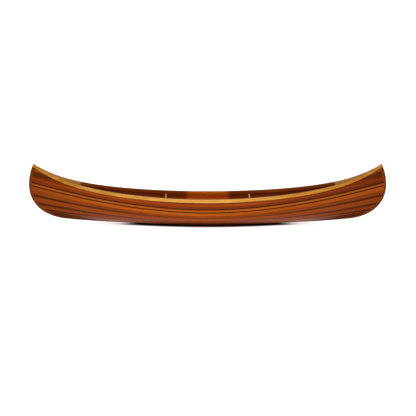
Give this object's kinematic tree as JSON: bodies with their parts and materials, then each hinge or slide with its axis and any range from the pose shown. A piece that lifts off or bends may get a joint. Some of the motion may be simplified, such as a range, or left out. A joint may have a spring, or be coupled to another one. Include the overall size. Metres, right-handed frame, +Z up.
{
  "type": "canoe",
  "caption": "Open solo canoe, strip planked, with recurved ends, light gunwales, short end decks, slim thwarts and a caned seat.",
  "frame": {"origin": "underside of the keel amidships, on the centreline", "axes": "+X towards the bow, +Y to port, +Z up"},
  "size_m": [3.05, 0.6694, 0.519],
  "materials": {
    "bottom_cedar": "varnished red cedar, slightly more orange",
    "cane": "woven natural cane, clear coated",
    "deck_ash": "varnished bookmatched ash",
    "deck_trim_ash": "varnished ash trim",
    "fastener_brass": "plain brass, slightly dulled",
    "feature_cedar": "varnished light cedar strip",
    "filler_dark_cedar": "varnished dark cedar",
    "filler_red_cedar": "varnished red cedar",
    "inner_stem_ash": "varnished laminated ash",
    "inwale_cherry": "varnished dark cherry",
    "outwale_ash": "varnished ash, honey coloured",
    "pinstripe_walnut": "varnished dark walnut",
    "reed": "natural reed",
    "seat_ash": "varnished ash",
    "stem_cherry": "varnished laminated cherry",
    "thwart_ash": "varnished ash",
    "topside_cedar": "varnished red cedar, red-brown"
  },
  "bodies": {
    "root": {"bow_coaming": "deck_trim_ash", "bow_dark_filler_port": "filler_dark_cedar", "bow_dark_filler_starboard": "filler_dark_cedar", "bow_deck": "deck_ash", "bow_deck_trim": "deck_trim_ash", "bow_inner_stem": "inner_stem_ash", "bow_outer_stem": "stem_cherry", "bow_thwart": "thwart_ash", "bow_upper_filler_port": "filler_red_cedar", "bow_upper_filler_starboard": "filler_red_cedar", "feature_strip_port": "feature_cedar", "feature_strip_starboard": "feature_cedar", "garboard_port": "bottom_cedar", "garboard_starboard": "bottom_cedar", "inner_bottom_strake_port": "bottom_cedar", "inner_bottom_strake_starboard": "bottom_cedar", "inwale_port": "inwale_cherry", "inwale_starboard": "inwale_cherry", "keel_strip": "stem_cherry", "lower_bilge_strake_port": "bottom_cedar", "lower_bilge_strake_starboard": "bottom_cedar", "lower_pinstripe_port": "pinstripe_walnut", "lower_pinstripe_starboard": "pinstripe_walnut", "outer_bottom_strake_port": "bottom_cedar", "outer_bottom_strake_starboard": "bottom_cedar", "outwale_port": "outwale_ash", "outwale_starboard": "outwale_ash", "seat_cane": "cane", "seat_front_rail": "seat_ash", "seat_rear_rail": "seat_ash", "seat_reed": "reed", "seat_riser_port": "seat_ash", "seat_riser_starboard": "seat_ash", "seat_screws": "fastener_brass", "seat_side_rail_port": "seat_ash", "seat_side_rail_starboard": "seat_ash", "sheer_strake_port": "topside_cedar", "sheer_strake_starboard": "topside_cedar", "stern_coaming": "deck_trim_ash", "stern_dark_filler_port": "filler_dark_cedar", "stern_dark_filler_starboard": "filler_dark_cedar", "stern_deck": "deck_ash", "stern_deck_trim": "deck_trim_ash", "stern_inner_stem": "inner_stem_ash", "stern_outer_stem": "stem_cherry", "stern_thwart": "thwart_ash", "stern_upper_filler_port": "filler_red_cedar", "stern_upper_filler_starboard": "filler_red_cedar", "thwart_bolts": "fastener_brass", "thwart_nuts": "fastener_brass", "thwart_washers": "fastener_brass", "topside_strake_port": "topside_cedar", "topside_strake_starboard": "topside_cedar", "upper_bilge_strake_port": "bottom_cedar", "upper_bilge_strake_starboard": "bottom_cedar", "upper_pinstripe_port": "pinstripe_walnut", "upper_pinstripe_starboard": "pinstripe_walnut"}
  },
  "joints": []
}
